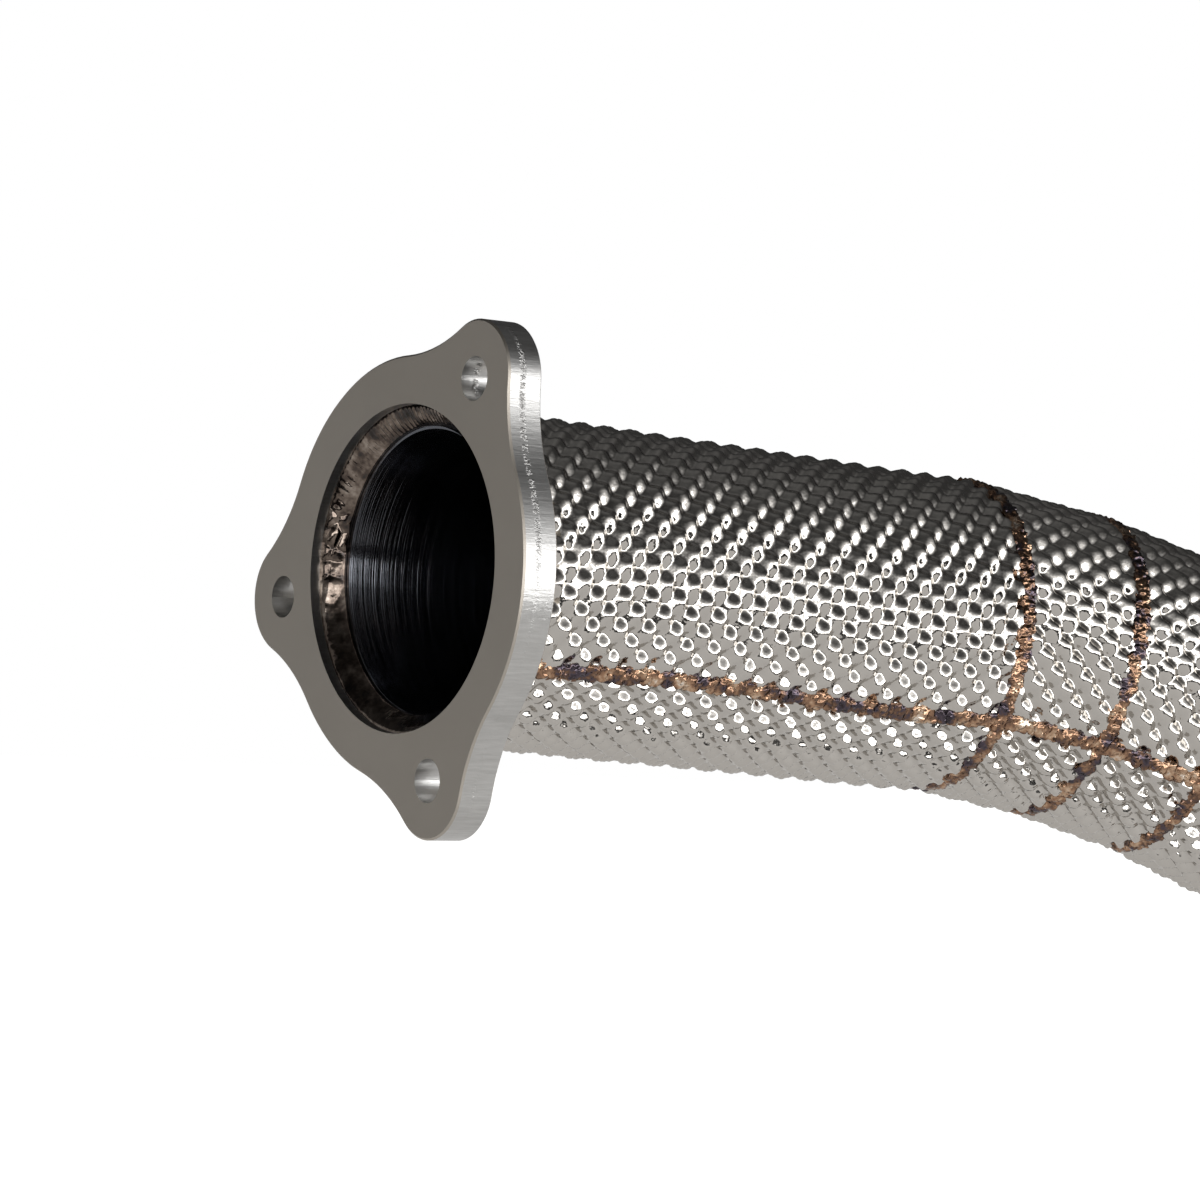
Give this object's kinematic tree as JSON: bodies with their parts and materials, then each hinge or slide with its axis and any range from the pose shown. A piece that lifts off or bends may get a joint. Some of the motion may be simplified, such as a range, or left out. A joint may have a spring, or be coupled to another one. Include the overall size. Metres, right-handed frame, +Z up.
{
  "type": "exhaust downpipe",
  "caption": "Heat-shielded exhaust downpipe: lobed bolt-on outlet flange, tube in a fibre blanket, mitred embossed sheet shield with welded joints, clamp ring at the inlet.",
  "frame": {"origin": "centre of the outlet bore on the flange's gasket face", "axes": "+X into the outlet bore square to the plate, +Z up, the pipe leans and bends towards -Y and down"},
  "size_m": [0.4227, 0.2634, 0.2678],
  "materials": {
    "flange_steel": "laser-cut stainless plate, satin face",
    "weld_steel": "heat-tinted weld bead",
    "tube_steel": "drawn stainless tube",
    "blanket_fibre": "needled glass-fibre blanket",
    "shield_foil": "bright embossed stainless sheet",
    "ring_steel": "turned stainless ring"
  },
  "bodies": {
    "root": {"outlet_flange": "flange_steel", "flange_weld": "weld_steel", "tube_straight": "tube_steel", "tube_bend": "tube_steel", "tube_inlet": "tube_steel", "blanket_straight": "blanket_fibre", "blanket_bend": "blanket_fibre", "blanket_inlet": "blanket_fibre", "shield_straight": "shield_foil", "shield_gore_1": "shield_foil", "shield_gore_2": "shield_foil", "shield_gore_3": "shield_foil", "shield_gore_4": "shield_foil", "shield_gore_5": "shield_foil", "shield_gore_6": "shield_foil", "shield_inlet": "shield_foil", "seam_weld_straight": "weld_steel", "seam_weld_gore_1": "weld_steel", "seam_weld_gore_2": "weld_steel", "seam_weld_gore_3": "weld_steel", "seam_weld_gore_4": "weld_steel", "seam_weld_gore_5": "weld_steel", "seam_weld_gore_6": "weld_steel", "seam_weld_inlet": "weld_steel", "joint_weld_1": "weld_steel", "joint_weld_2": "weld_steel", "joint_weld_3": "weld_steel", "joint_weld_4": "weld_steel", "joint_weld_5": "weld_steel", "joint_weld_6": "weld_steel", "joint_weld_7": "weld_steel", "clamp_ring": "ring_steel", "ring_weld": "weld_steel"}
  },
  "joints": []
}
